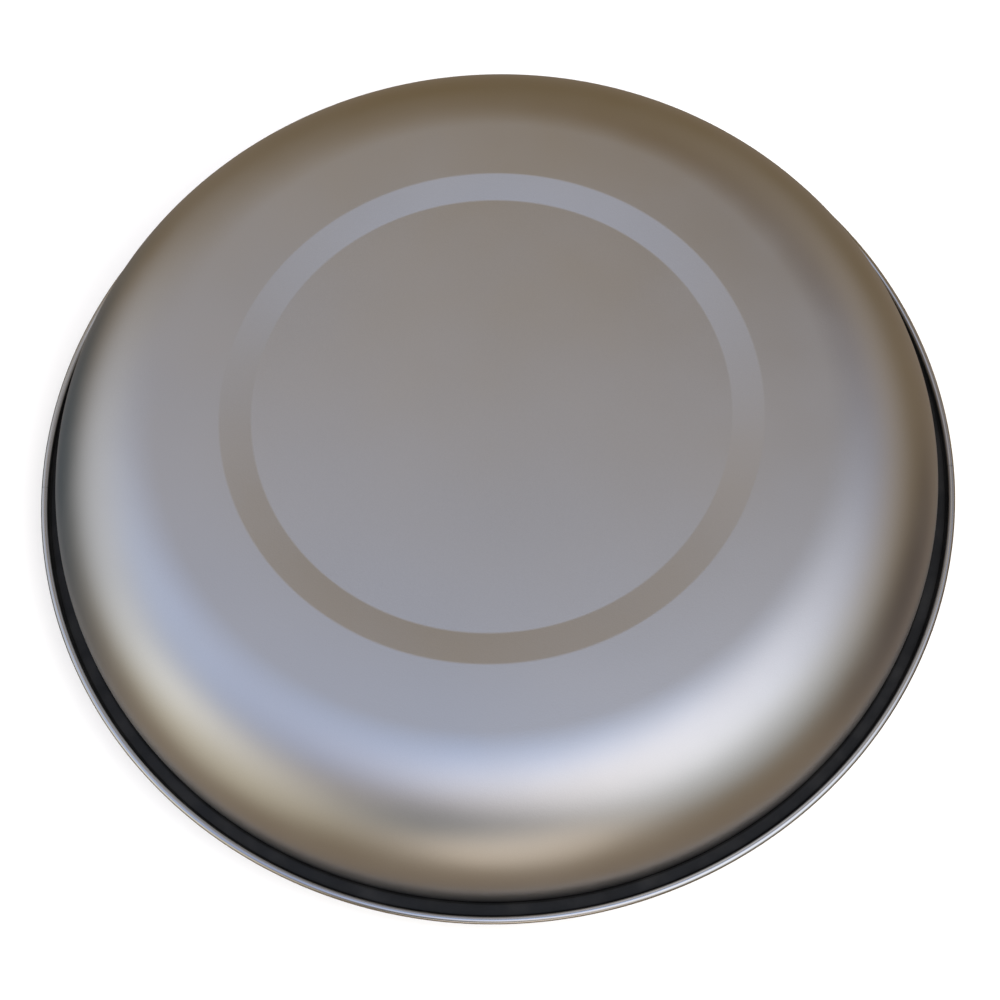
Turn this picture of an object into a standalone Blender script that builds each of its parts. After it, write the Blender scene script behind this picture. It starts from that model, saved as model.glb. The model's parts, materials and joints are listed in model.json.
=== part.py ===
"""Hard spare tyre cover: a pressed dish held in a two-part clamp ring.

Metres, +Z up. The cover lies face up on its rear edge trim, with the dish's axis on Z and the
floor at z = 0. The ring halves part at the hinge on -X and at the key lock on +X.
Heights in profiles are measured from the middle of the rolled bead, at z = BEAD_Z.
"""

import math

import bmesh
import bpy
from mathutils import Matrix, Vector

# ---------------------------------------------------------------- driving dimensions
GAP = 0.0003                 # between pieces that touch
SHEET = 0.001                # stainless sheet of the dish and ring
STEPS = 60                   # facets round the full circle
STEP_ANGLE = 2 * math.pi / STEPS
BEAD_Z = 0.0884              # middle of the rolled bead above the floor

RIM_R = 0.375                # outside of the rolled bead
BEAD_R = 0.0029
BEAD_CENTRE_R = RIM_R - BEAD_R
WIRE_R = 0.0015
WIRE_INSET = 0.003           # the wire stops short of its half's ends by this angle

FACE_H = 0.101               # flat annulus above the bead
DISC_H = 0.0975              # recessed centre disc
DISC_R = 0.1843
STEP_R = 0.2083              # outside of the conical step ring
SHOULDER_R = 0.256           # where the shoulder leaves the annulus
WALL_R = 0.358               # foot of the side wall
WALL_FOOT_H = -0.005
SHOULDER_POWER = 2.2         # superellipse of the shoulder
FLANGE_H = -0.009
FLANGE_R = 0.369
COVE_R = WALL_FOOT_H - FLANGE_H              # middle of the sheet, from the wall to the flange

SEAL_R = 0.3712
SEAL_TOP_H = -0.0045
SEAL_LOW_H = -0.0135
SEAL_CHAMFER = 0.0014
SEAL_LOWER_LIP_R = 0.3635
CHANNEL_R = 0.3723           # middle of the channel wall's sheet
SHELF_H = -0.0144            # middle of the shelf's sheet under the seal
BAND_R = 0.3615              # middle of the band's sheet
LIP_H = -0.086
LIP_R = 0.356
CHANNEL_FOLD = 0.002         # folded corners of the channel and band
LIP_FOLD = 0.0016
CURL_START, CURL_SWEEP = 245, -315           # degrees
TRIM_T = 0.0016
TRIM_TOP_R, TRIM_LOW_R = 0.3586, 0.3602
TYRE_R = 0.3535              # tread of the tyre that the cover grips
BUTT_GAP = 0.00015           # half the gap between the ring halves

HINGE_X = -0.3775
HINGE_LOW = -0.078
HINGE_HIGH = -0.030
KNUCKLES = 5
KNUCKLE_R = 0.004
PIN_R = 0.00175
PIN_HEAD_R = 0.003
LEAF_T = 0.002
LEAF_LENGTH = 0.034
LEAF_CLEAR = 0.001           # from the joint line to a leaf
LEAF_FILLET = 0.002
NOTCH_X = -0.3651            # inner end of the notches between knuckles
RIVET_R = 0.0016
RIVET_HOLE_R = 0.0019
RIVET_HEAD_R = 0.0036
RIVET_DOME = 0.0016
RIVET_TAIL_R = 0.0030
RIVET_TAIL_T = 0.0009
TONGUE_RIVET_GRIP = 0.0034
CUT = 0.012                  # reach of a cutter past what it cuts
LEAF_RIVET_S = 0.024         # along the leaf from the joint
LEAF_RIVET_HEIGHTS = (-0.036, -0.054, -0.072)

LOCK_H = -0.053              # height of the lock's axis, which is the +X axis
HOUSING_X = 0.3815           # outer face of the lock housing
HOUSING_W = 0.044
HOUSING_L = 0.052
HOUSING_EDGE = 0.0035
GASKET_R = 0.3633
RECESS_X = 0.3779
RECESS_W = 0.028
RECESS_TOP = 0.0145          # above the lock's axis
NICK_X = 0.3791              # floor of the thumb nick under the dust cap
NICK_R = 0.0065
BARREL_R = 0.009
BARREL_BORE_R = 0.0063
BARREL_CHAMFER = 0.0005
PLUG_R = 0.006
PLUG_HOLE_R = 0.0069
PLUG_CLEAR = 0.0005          # plug's face under the recess, and its shoulder over the cam
KEY_W, KEY_L, KEY_DEPTH = 0.0022, 0.008, 0.007
PAN_HEAD_T = 0.0017
SCREW_OFFSET = 0.0215
LOCK_SCREW_L = 0.0115
LOCK_SCREW_HEAD_R = 0.0034
CAM_X = 0.3559
CAM_T = 0.002
CAM_LENGTH = 0.015
CAM_WIDTH = 0.009
CAM_HUB_R = 0.0062
CAM_CHAMFER = 0.001
CAM_SCREW_L = 0.0065
CAM_SCREW_HEAD_R = 0.0052
STEM = 0.007
CAP_T = 0.002
CAP_W = 0.0272
CAP_PIN_X = 0.3798
CAP_PIN_H = LOCK_H + 0.0122
CAP_BARREL_R = 0.0017
CAP_PIN_R = 0.0008
CAP_PIN_CLEAR = 0.0002
CAP_PIN_HALF = 0.018
CAP_DROP = 0.0137            # lower edge under the lock's axis
CAP_NECK = 0.0026            # flat back ends this far under the pin

TONGUE_R = 0.36
TONGUE_T = 0.0014
TONGUE_W = 0.034
TONGUE_SLOT_W = 0.015
TONGUE_SLOT_END = -0.0165
TONGUE_TIP = 0.007
TONGUE_START = -12.6         # degrees
CATCH_X = (0.3546, 0.3592)   # lip that the cam catches
CATCH_Y = (0.0053, 0.0068)
TONGUE_RIVET_S, TONGUE_RIVET_UP = 0.009, 0.011

PAD_R = 0.3606
PAD_HIGH, PAD_LOW = -0.030, -0.070
PAD_FACETS = 2
PAD_PITCH = 4                # facets from one pad to the next
PADS_PER_HALF = 6
PAD_START_FIXED = 3          # first facet of the first pad
PAD_START_SWING = STEPS // 2 + 2
BUMPER_R = 0.016
BUMPER_RING_R = 0.242
BUMPER_DEPTH = 0.025
BUMPER_RIM_T = 0.004
BUMPER_FOOT = 0.002          # height of the chamfer round the foot
BUMPERS = 6

# ---------------------------------------------------------------- scene and helpers
for old in list(bpy.data.objects):
    bpy.data.objects.remove(old, do_unlink=True)

PARTS = bpy.data.collections.new("spare_tyre_cover")
CUTTERS = bpy.data.collections.new("cutters")
bpy.context.scene.collection.children.link(PARTS)
bpy.context.scene.collection.children.link(CUTTERS)


def material(name, colour, roughness, metallic):
    """A Principled material."""
    mat = bpy.data.materials.new(name)
    mat.use_nodes = True
    shader = mat.node_tree.nodes["Principled BSDF"]
    shader.inputs["Base Color"].default_value = (*colour, 1.0)
    shader.inputs["Roughness"].default_value = roughness
    shader.inputs["Metallic"].default_value = metallic
    mat.diffuse_color = (*colour, 1.0)
    return mat


SATIN = material("satin_stainless", (0.50, 0.49, 0.48), 0.42, 1.0)
POLISHED = material("polished_stainless", (0.62, 0.60, 0.58), 0.16, 1.0)
ZINC = material("zinc_casting", (0.42, 0.42, 0.43), 0.30, 1.0)
BRASS = material("lock_brass", (0.70, 0.55, 0.28), 0.30, 1.0)
STEEL = material("plated_steel", (0.55, 0.55, 0.56), 0.28, 1.0)
RUBBER = material("black_rubber", (0.018, 0.018, 0.019), 0.60, 0.0)
PLASTIC = material("black_plastic", (0.030, 0.030, 0.032), 0.45, 0.0)


def place(obj, mat=None):
    """Put an object among the parts, or among the cutters if it has no material."""
    if mat:
        obj.data.materials.append(mat)
        PARTS.objects.link(obj)
    else:
        obj.hide_render = True
        obj.display_type = "WIRE"
        CUTTERS.objects.link(obj)
    return obj


def smooth(obj):
    """Shade a round piece smooth, with its edges sharp."""
    obj.data.shade_smooth()
    obj.data.set_sharp_from_angle(angle=math.radians(35))
    return obj


def mesh_object(name, bm, mat=None):
    """An object from a bmesh, which is freed."""
    bm.normal_update()
    mesh = bpy.data.meshes.new(name)
    bm.to_mesh(mesh)
    bm.free()
    return place(bpy.data.objects.new(name, mesh), mat)


def turned(name, profile, mat=None, start=0.0, sweep=2 * math.pi, steps=STEPS, closed=False, sheet=0.0):
    """Turn a profile of (radius, height) round local Z; sheet thickens an open one about its middle."""
    bm = bmesh.new()
    points = [bm.verts.new((r, 0.0, h)) for r, h in profile]
    for a, b in zip(points, points[1:]):
        bm.edges.new((a, b))
    if closed:
        bm.edges.new((points[-1], points[0]))
    obj = mesh_object(name, bm, mat)
    screw = obj.modifiers.new("turn", "SCREW")
    screw.angle = sweep
    screw.steps = steps
    screw.render_steps = steps
    screw.use_merge_vertices = sweep >= 2 * math.pi
    screw.merge_threshold = 0.00001
    if sheet:
        shell = obj.modifiers.new("sheet", "SOLIDIFY")
        shell.thickness = sheet
        shell.offset = 0.0
        shell.use_even_offset = True
    obj.rotation_euler.z = start
    obj.location.z = BEAD_Z
    return obj


def pointed(obj, origin, direction):
    """Place a piece turned on local Z at an origin, with its Z along a direction."""
    obj.location = origin
    obj.rotation_euler = Vector(direction).to_track_quat("Z", "Y").to_euler()
    return obj


def box(name, low, high, mat=None):
    """A box between two corners."""
    bm = bmesh.new()
    bmesh.ops.create_cube(bm, size=1.0)
    size = [b - a for a, b in zip(low, high)]
    middle = [(a + b) / 2 for a, b in zip(low, high)]
    bm.transform(Matrix.Translation(middle) @ Matrix.Diagonal((*size, 1.0)))
    return mesh_object(name, bm, mat)


def rod(name, radius, origin, direction, length, mat=None, sides=20):
    """A cylinder that starts at an origin and runs along a direction."""
    bm = bmesh.new()
    bmesh.ops.create_cone(bm, cap_ends=True, segments=sides, radius1=radius, radius2=radius, depth=length)
    bm.transform(Matrix.Translation((0.0, 0.0, length / 2)))
    return pointed(mesh_object(name, bm, mat), origin, direction)


def extruded(name, outlines, depth, matrix, mat=None):
    """A solid from flat outlines, the first outside and the others holes, along the matrix's Z."""
    curve = bpy.data.curves.new(name, "CURVE")
    curve.dimensions = "2D"
    curve.fill_mode = "BOTH"
    curve.extrude = depth / 2
    for outline in outlines:
        spline = curve.splines.new("POLY")
        spline.points.add(len(outline) - 1)
        for point, (u, v) in zip(spline.points, outline):
            point.co = (u, v, 0.0, 1.0)
        spline.use_cyclic_u = True
    return from_curve(name, curve, matrix, mat)


def from_curve(name, curve, matrix, mat=None):
    """Make a curve into a mesh object with welded caps."""
    guide = bpy.data.objects.new(name + "_guide", curve)
    CUTTERS.objects.link(guide)
    guide.matrix_world = matrix
    bpy.context.view_layer.update()
    evaluated = guide.evaluated_get(bpy.context.evaluated_depsgraph_get())
    mesh = bpy.data.meshes.new_from_object(evaluated)
    bpy.data.objects.remove(guide, do_unlink=True)
    bm = bmesh.new()
    bm.from_mesh(mesh)
    bmesh.ops.remove_doubles(bm, verts=bm.verts, dist=0.00001)
    bm.transform(matrix)
    bmesh.ops.recalc_face_normals(bm, faces=bm.faces)
    bpy.data.meshes.remove(mesh)
    return mesh_object(name, bm, mat)


def circle(cx, cy, radius, sides, start=0.0, sweep=2 * math.pi):
    """Points round a circle or, with a shorter sweep, along an arc with both its ends."""
    whole = sweep >= 2 * math.pi
    count = sides if whole else sides + 1
    angles = [start + sweep * k / sides for k in range(count)]
    return [(cx + radius * math.cos(a), cy + radius * math.sin(a)) for a in angles]


def boolean(obj, tool, operation="DIFFERENCE"):
    """Cut a tool out of an object, or join it on."""
    step = obj.modifiers.new(tool.name, "BOOLEAN")
    step.operation = operation
    step.solver = "EXACT"
    step.object = tool
    return obj


def at_angle(radius, angle, height):
    """World point at a radius, an angle from +X and a height from the bead."""
    return Vector((radius * math.cos(angle), radius * math.sin(angle), BEAD_Z + height))


# ---------------------------------------------------------------- dish and seal
def shoulder(pieces=7):
    """Superellipse from the flat annulus to the foot of the wall."""
    points = []
    for k in range(pieces + 1):
        t = math.pi / 2 * k / pieces
        out = math.sin(t) ** (2 / SHOULDER_POWER)
        up = math.cos(t) ** (2 / SHOULDER_POWER) if k < pieces else 0.0
        radius = SHOULDER_R + (WALL_R - SHOULDER_R) * out
        points.append((radius, WALL_FOOT_H + (FACE_H - WALL_FOOT_H) * up))
    return points


def front_dish():
    """One pressing: disc, step ring, annulus, shoulder, wall, cove and flange."""
    half = SHEET / 2
    disc = [(0.0, DISC_H), (DISC_R, DISC_H), (STEP_R, FACE_H)]
    cove = circle(WALL_R + COVE_R, WALL_FOOT_H, COVE_R, 2, math.pi, math.pi / 2)[1:]
    profile = [(r, h - half) for r, h in disc + shoulder() + cove + [(FLANGE_R, FLANGE_H)]]
    return smooth(turned("front_dish", profile, SATIN, sheet=SHEET))


def dish_edge_seal():
    """Rubber channel over the edge of the dish's flange, whose upper lip fills the cove up to the wall."""
    cove_h = WALL_FOOT_H - SHEET / 2
    fill_r = COVE_R - SHEET / 2 - GAP
    cove = circle(WALL_R + COVE_R, cove_h, fill_r, 2, math.pi, math.pi / 2)
    slot_r = FLANGE_R + GAP
    slot_top = FLANGE_H + GAP
    slot_low = FLANGE_H - SHEET - GAP
    low = SEAL_LOW_H
    profile = [
        (cove[0][0], SEAL_TOP_H), (SEAL_R, SEAL_TOP_H), (SEAL_R, low + SEAL_CHAMFER),
        (SEAL_R - SEAL_CHAMFER, low), (SEAL_LOWER_LIP_R, low), (SEAL_LOWER_LIP_R, slot_low),
        (slot_r, slot_low), (slot_r, slot_top),
    ]
    return smooth(turned("dish_edge_seal", profile + cove[::-1], RUBBER, closed=True))


# ---------------------------------------------------------------- clamp ring
FIXED = (-STEP_ANGLE, STEPS // 2 + 1)         # start angle and facets of each half
SWING = (math.pi, STEPS // 2 - 1)


def half_turn(name, profile, mat, half, sheet):
    """Turn a profile over one ring half, with its ends clear of the other half."""
    start, facets = half
    clear = BUTT_GAP / RIM_R
    return turned(name, profile, mat, start + clear, facets * STEP_ANGLE - 2 * clear, facets, sheet=sheet)


def ring_profile():
    """Middle of the sheet: curl, channel wall, shelf, band and rear lip."""
    first, sweep = math.radians(CURL_START), math.radians(CURL_SWEEP)
    fold = CHANNEL_FOLD
    return circle(BEAD_CENTRE_R, 0.0, BEAD_R - SHEET / 2, 8, first, sweep) + [
        (CHANNEL_R, SHELF_H + fold), (CHANNEL_R - fold, SHELF_H), (BAND_R + fold, SHELF_H),
        (BAND_R, SHELF_H - fold), (BAND_R, LIP_H + LIP_FOLD), (BAND_R - LIP_FOLD, LIP_H), (LIP_R, LIP_H),
    ]


def ring_half(name, half):
    """One half of the clamp ring."""
    return half_turn(name, ring_profile(), POLISHED, half, SHEET)


def bead_wire(name, half):
    """Wire inside the rolled bead, a little shorter than its half."""
    start, facets = half
    curve = bpy.data.curves.new(name, "CURVE")
    curve.dimensions = "3D"
    curve.bevel_depth = WIRE_R
    curve.bevel_resolution = 1
    curve.use_fill_caps = True
    spline = curve.splines.new("POLY")
    spline.points.add(facets)
    for k, point in enumerate(spline.points):
        inset = WIRE_INSET * ((k == 0) - (k == facets))
        spot = at_angle(BEAD_CENTRE_R, start + k * STEP_ANGLE + inset, 0.0)
        point.co = (*spot, 1.0)
    return smooth(from_curve(name, curve, Matrix.Identity(4), STEEL))


def rear_trim(name, half):
    """Rubber edge trim folded round the rear lip, down to the floor."""
    reach = SHEET / 2 + GAP + TRIM_T / 2
    inside = TYRE_R + TRIM_T / 2
    top, low = LIP_H + reach, LIP_H - reach
    profile = [(TRIM_TOP_R, top), (inside, top), (inside, low), (TRIM_LOW_R, low)]
    return smooth(half_turn(name, profile, RUBBER, half, TRIM_T))


# ---------------------------------------------------------------- rivets and holes
def domed(radius, height, base=0.0):
    """Profile of a domed head, from its top to its underside."""
    steps = ((0.0, 1.0), (0.65, 0.78), (1.0, 0.25), (1.0, 0.0))
    return [(radius * out, base + height * up) for out, up in steps]


def rivet_profile(grip):
    """Domed rivet: z = 0 is the outer side of what it grips, and the grip runs down."""
    inner = -grip - GAP
    tail = inner - RIVET_TAIL_T
    return domed(RIVET_HEAD_R, RIVET_DOME, GAP) + [
        (RIVET_R, GAP), (RIVET_R, inner), (RIVET_TAIL_R, inner), (RIVET_TAIL_R * 0.8, tail), (0.0, tail),
    ]


def rivets(name, spots, grip):
    """A rivet at each (point, outward direction) spot."""
    for number, (point, out) in enumerate(spots, 1):
        rivet = turned(f"{name}_{number}", rivet_profile(grip), STEEL, steps=10)
        smooth(pointed(rivet, point, out))


def drill(objects, spots, radius, reach=CUT):
    """Cut round holes through objects at (point, outward direction) spots."""
    for number, (point, out) in enumerate(spots):
        tool = rod(f"{objects[0].name}_hole_{number}", radius, point - reach * out, out, 2 * reach, sides=16)
        for obj in objects:
            boolean(obj, tool)


# ---------------------------------------------------------------- hinge
def leaf_frame(side):
    """Origin on the joint line and directions along and out of the facet, for side +1 or -1."""
    tilt = STEP_ANGLE / 2
    origin = Vector((-(BAND_R + SHEET / 2), 0.0, BEAD_Z))
    along = Vector((math.sin(tilt), side * math.cos(tilt), 0.0))
    out = Vector((-math.cos(tilt), side * math.sin(tilt), 0.0))
    return origin, along, out


def leaf_spots(side, base):
    """Rivet spots on a leaf's plate, at a height over the facet."""
    origin, along, out = leaf_frame(side)
    spots = []
    for height in LEAF_RIVET_HEIGHTS:
        point = origin + LEAF_RIVET_S * along + base * out + Vector((0.0, 0.0, height))
        spots.append((point, out))
    return spots


def knuckle_bands(side):
    """Heights of the knuckles that belong to the other leaf."""
    pitch = (HINGE_HIGH - HINGE_LOW) / KNUCKLES
    first = 1 if side > 0 else 0
    return [(HINGE_LOW + k * pitch, HINGE_LOW + (k + 1) * pitch) for k in range(first, KNUCKLES, 2)]


def hinge_leaf(name, side):
    """A stand-off leaf: plate on the band, web and knuckles round the pin."""
    origin, along, out = leaf_frame(side)
    centre = Vector((HINGE_X, 0.0, BEAD_Z)) - origin
    cs, cn = centre.dot(along), centre.dot(out)
    near = LEAF_CLEAR
    far = cs + KNUCKLE_R
    base = GAP
    top = base + LEAF_T
    end = math.asin(-math.sqrt(KNUCKLE_R ** 2 - (near - cs) ** 2) / KNUCKLE_R)
    barrel = circle(cs, cn, KNUCKLE_R, 14, 0.0, 2 * math.pi + end)
    outline = [(near, base), (LEAF_LENGTH, base), (LEAF_LENGTH, top), (far + LEAF_FILLET, top),
               (far, top + LEAF_FILLET)]
    outline += barrel
    height = HINGE_HIGH - HINGE_LOW
    middle = origin + Vector((0.0, 0.0, (HINGE_HIGH + HINGE_LOW) / 2))
    axis = along.cross(out)
    matrix = Matrix.Translation(middle) @ Matrix((along, out, axis)).transposed().to_4x4()
    hole = circle(cs, cn, PIN_R + GAP, 14)
    leaf = extruded(name, [outline, hole], height, matrix, STEEL)
    for number, (low, high) in enumerate(knuckle_bands(side)):
        low_end = low - GAP / 2 - (CUT if low <= HINGE_LOW else 0.0)
        high_end = high + GAP / 2 + (CUT if high >= HINGE_HIGH else 0.0)
        tool = box(f"{name}_notch_{number}", (HINGE_X - CUT, -CUT, BEAD_Z + low_end),
                   (NOTCH_X, CUT, BEAD_Z + high_end))
        boolean(leaf, tool)
    return smooth(leaf)


def hinge_pin():
    """Pin with a domed head at each end."""
    low, high = HINGE_LOW - GAP, HINGE_HIGH + GAP
    upper = domed(PIN_HEAD_R, RIVET_DOME, high)
    lower = domed(PIN_HEAD_R, -RIVET_DOME, low)
    pin = turned("hinge_pin", upper + [(PIN_R, high), (PIN_R, low)] + lower[::-1], STEEL, steps=14)
    pin.location.x = HINGE_X
    return smooth(pin)


# ---------------------------------------------------------------- lock
LOCK = Vector((0.0, 0.0, BEAD_Z + LOCK_H))
OUT = Vector((1.0, 0.0, 0.0))


def lock_point(x, y=0.0, z=0.0):
    """World point at a distance out along the lock's axis, and offsets across it."""
    return LOCK + Vector((x, y, z))


def screw_spots(x):
    """The two housing screws."""
    return [(lock_point(x, 0.0, side * SCREW_OFFSET), OUT) for side in (1, -1)]


def lock_gasket():
    """Curved rubber gasket between the band and the housing."""
    middle = GASKET_R - SHEET / 2
    sweep = HOUSING_W / middle
    top, low = LOCK_H + HOUSING_L / 2, LOCK_H - HOUSING_L / 2
    gasket = turned("lock_gasket", [(middle, top), (middle, low)], RUBBER, -sweep / 2, sweep, 4, sheet=SHEET)
    drill([gasket], screw_spots(GASKET_R), RIVET_HOLE_R + GAP)
    bore = rod("lock_gasket_bore", PLUG_HOLE_R, lock_point(GASKET_R - CUT / 2), OUT, CUT)
    boolean(gasket, bore)
    return gasket


def lock_housing():
    """Cast boss with a curved foot, a recessed face, a bore for the barrel and screw holes."""
    half_w, half_l = HOUSING_W / 2, HOUSING_L / 2
    foot_x = BAND_R - SHEET
    housing = box("lock_housing", lock_point(foot_x, -half_w, -half_l),
                  lock_point(HOUSING_X, half_w, half_l), ZINC)
    round_off = housing.modifiers.new("edges", "BEVEL")
    round_off.width = HOUSING_EDGE
    round_off.segments = 3
    foot = rod("housing_foot_cut", GASKET_R + GAP, lock_point(0.0, 0.0, -HOUSING_L), (0.0, 0.0, 1.0),
               2 * HOUSING_L, sides=240)
    boolean(housing, foot)
    half_r = RECESS_W / 2
    recess = box("housing_recess_cut", lock_point(RECESS_X, -half_r, -half_r),
                 lock_point(HOUSING_X + CUT, half_r, RECESS_TOP))
    boolean(housing, recess)
    nick = rod("housing_nick_cut", NICK_R, lock_point(NICK_X, 0.0, -half_r), OUT, CUT)
    boolean(housing, nick)
    bore = rod("housing_bore_cut", BARREL_R + GAP, lock_point(foot_x), OUT, 2 * CUT, sides=28)
    boolean(housing, bore)
    pin_half = CAP_PIN_HALF + GAP
    pin_end = Vector((CAP_PIN_X, -pin_half, BEAD_Z + CAP_PIN_H))
    pin_hole = rod("housing_pin_cut", CAP_PIN_R + CAP_PIN_CLEAR, pin_end, (0.0, 1.0, 0.0), 2 * pin_half,
                   sides=12)
    boolean(housing, pin_hole)
    for number, side in enumerate((1, -1)):
        tool = rod(f"housing_screw_cut_{number}", RIVET_HOLE_R,
                   lock_point(foot_x, 0.0, side * SCREW_OFFSET), OUT, LOCK_SCREW_L + GAP, sides=12)
        boolean(housing, tool)
    return smooth(housing)


def pan_head_screw(length, head_r):
    """Screw along +Z with its pan head below z = 0."""
    return [
        (0.0, length), (RIVET_R * 0.6, length), (RIVET_R, length - RIVET_R * 0.6), (RIVET_R, 0.0),
        (head_r, 0.0), (head_r, -PAN_HEAD_T / 2), (head_r * 0.8, -PAN_HEAD_T), (0.0, -PAN_HEAD_T),
    ]


def lock_screws():
    """Two pan-head screws from inside the band into the housing."""
    head_x = BAND_R - SHEET / 2 - 2 * GAP
    for number, (point, out) in enumerate(screw_spots(head_x), 1):
        profile = pan_head_screw(LOCK_SCREW_L, LOCK_SCREW_HEAD_R)
        smooth(pointed(turned(f"lock_screw_{number}", profile, STEEL, steps=12), point, out))


def lock_barrel():
    """Fixed shell round the plug."""
    top, low = RECESS_X - GAP, GASKET_R + SHEET
    nose_r = BARREL_R - BARREL_CHAMFER
    profile = [
        (BARREL_BORE_R, top), (nose_r, top), (BARREL_R, top - BARREL_CHAMFER), (BARREL_R, low),
        (BARREL_BORE_R, low),
    ]
    barrel = turned("lock_barrel", profile, ZINC, steps=28, closed=True)
    return smooth(pointed(barrel, LOCK, OUT))


def lock_plug():
    """Turning plug with a key slot, a square stem for the cam and a bore for its screw."""
    face, shoulder_x = RECESS_X - PLUG_CLEAR, CAM_X + CAM_T + PLUG_CLEAR
    plug = rod("lock_plug", PLUG_R, lock_point(shoulder_x), OUT, face - shoulder_x, BRASS, sides=24)
    half = STEM / 2
    stem = box("plug_stem", lock_point(CAM_X, -half, -half), lock_point(shoulder_x + CAM_T, half, half))
    boolean(plug, stem, "UNION")
    slot = box("plug_key_slot", lock_point(face - KEY_DEPTH, -KEY_W / 2, -KEY_L / 2),
               lock_point(face + CUT, KEY_W / 2, KEY_L / 2))
    boolean(plug, slot)
    bore = rod("plug_screw_bore", RIVET_HOLE_R, lock_point(CAM_X - CAM_T), OUT, CAM_SCREW_L + 2 * CAM_T,
               sides=12)
    boolean(plug, bore)
    return smooth(plug)


def lock_cam():
    """Cam plate: round hub with one arm towards -Y while the lock is open."""
    half = CAM_WIDTH / 2
    reach = math.sqrt(CAM_HUB_R ** 2 - half ** 2)
    turn = math.atan2(half, -reach)
    hub = circle(0.0, 0.0, CAM_HUB_R, 12, -turn, 2 * turn)
    tip, side = -CAM_LENGTH, half - CAM_CHAMFER
    outline = hub + [(tip + CAM_CHAMFER, half), (tip, side), (tip, -side), (tip + CAM_CHAMFER, -half)]
    square = STEM / 2 + GAP
    hole = [(-square, -square), (square, -square), (square, square), (-square, square)]
    frame = Matrix((Vector((0, 1, 0)), Vector((0, 0, 1)), Vector((1, 0, 0)))).transposed().to_4x4()
    matrix = Matrix.Translation(lock_point(CAM_X + CAM_T / 2)) @ frame
    return extruded("lock_cam", [outline, hole], CAM_T, matrix, STEEL)


def cam_screw():
    """Screw that holds the cam on the stem."""
    screw = turned("cam_screw", pan_head_screw(CAM_SCREW_L, CAM_SCREW_HEAD_R), STEEL, steps=16)
    return smooth(pointed(screw, lock_point(CAM_X - GAP), OUT))


def lock_dust_cap():
    """Flap over the key slot, turning on a pin at its upper edge."""
    px, pz = CAP_PIN_X, CAP_PIN_H
    low = LOCK_H - CAP_DROP
    outer = px + CAP_BARREL_R
    inner = outer - CAP_T
    barrel = circle(px, pz, CAP_BARREL_R, 12, 0.0, math.radians(200))
    outline = [(inner, low), (outer, low)] + barrel + [(inner, pz - CAP_NECK)]
    hole = circle(px, pz, CAP_PIN_R + CAP_PIN_CLEAR, 10)
    frame = Matrix((Vector((1, 0, 0)), Vector((0, 0, 1)), Vector((0, -1, 0)))).transposed().to_4x4()
    matrix = Matrix.Translation((0.0, 0.0, BEAD_Z)) @ frame
    return smooth(extruded("lock_dust_cap", [outline, hole], CAP_W, matrix, PLASTIC))


def dust_cap_pin():
    """Plain pin through the flap and the housing's ears."""
    start = Vector((CAP_PIN_X, -CAP_PIN_HALF, BEAD_Z + CAP_PIN_H))
    return smooth(rod("dust_cap_pin", CAP_PIN_R, start, (0.0, 1.0, 0.0), 2 * CAP_PIN_HALF, STEEL, sides=10))


# ---------------------------------------------------------------- latch tongue
def tongue_spots():
    """Four rivets on the band's facet next to the joint."""
    angle = -1.5 * STEP_ANGLE
    outside = (BAND_R + SHEET / 2) * math.cos(STEP_ANGLE / 2)
    out = Vector((math.cos(angle), math.sin(angle), 0.0))
    along = Vector((-math.sin(angle), math.cos(angle), 0.0))
    spots = []
    for s in (-TONGUE_RIVET_S, TONGUE_RIVET_S):
        for up in (-TONGUE_RIVET_UP, TONGUE_RIVET_UP):
            spots.append((outside * out + s * along + lock_point(0.0, 0.0, up), out))
    return spots


def latch_tongue():
    """Forked plate behind the joint, with a lip that the cam catches."""
    middle = TONGUE_R - TONGUE_T / 2
    start = math.radians(TONGUE_START)
    end = math.asin(TONGUE_TIP / TONGUE_R)
    top, low = LOCK_H + TONGUE_W / 2, LOCK_H - TONGUE_W / 2
    edge = [(middle, top), (middle, low)]
    tongue = turned("latch_tongue", edge, STEEL, start, end - start, 7, sheet=TONGUE_T)
    half = TONGUE_SLOT_W / 2
    lip = box("tongue_lip", lock_point(CATCH_X[0], CATCH_Y[0], half),
              lock_point(CATCH_X[1], CATCH_Y[1], TONGUE_W / 2 - GAP))
    boolean(tongue, lip, "UNION")
    slot = box("tongue_slot", lock_point(TONGUE_R - CUT, TONGUE_SLOT_END, -half),
               lock_point(TONGUE_R + CUT, CUT, half))
    boolean(tongue, slot)
    return tongue


# ---------------------------------------------------------------- pads and bumpers
def tread_pads(name, first_step):
    """Rubber pads inside the band, two facets long each."""
    thick = PAD_R - TYRE_R
    middle = TYRE_R + thick / 2
    for k in range(PADS_PER_HALF):
        start = (first_step + PAD_PITCH * k) * STEP_ANGLE
        turned(f"{name}_{k + 1}", [(middle, PAD_HIGH), (middle, PAD_LOW)], RUBBER, start,
               PAD_FACETS * STEP_ANGLE, PAD_FACETS, sheet=thick)


def sidewall_bumpers():
    """Tapered rubber feet on the inside of the flat annulus."""
    top = FACE_H - SHEET - GAP
    low = top - BUMPER_DEPTH
    profile = [
        (0.0, top), (BUMPER_R, top), (BUMPER_R, top - BUMPER_RIM_T), (BUMPER_R * 0.8, low + BUMPER_FOOT),
        (BUMPER_R * 0.72, low), (0.0, low),
    ]
    for k in range(BUMPERS):
        angle = 2 * math.pi * (k + 0.5) / BUMPERS
        bumper = turned(f"sidewall_bumper_{k + 1}", profile, RUBBER, steps=16)
        bumper.location.xy = (BUMPER_RING_R * math.cos(angle), BUMPER_RING_R * math.sin(angle))
        smooth(bumper)


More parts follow.
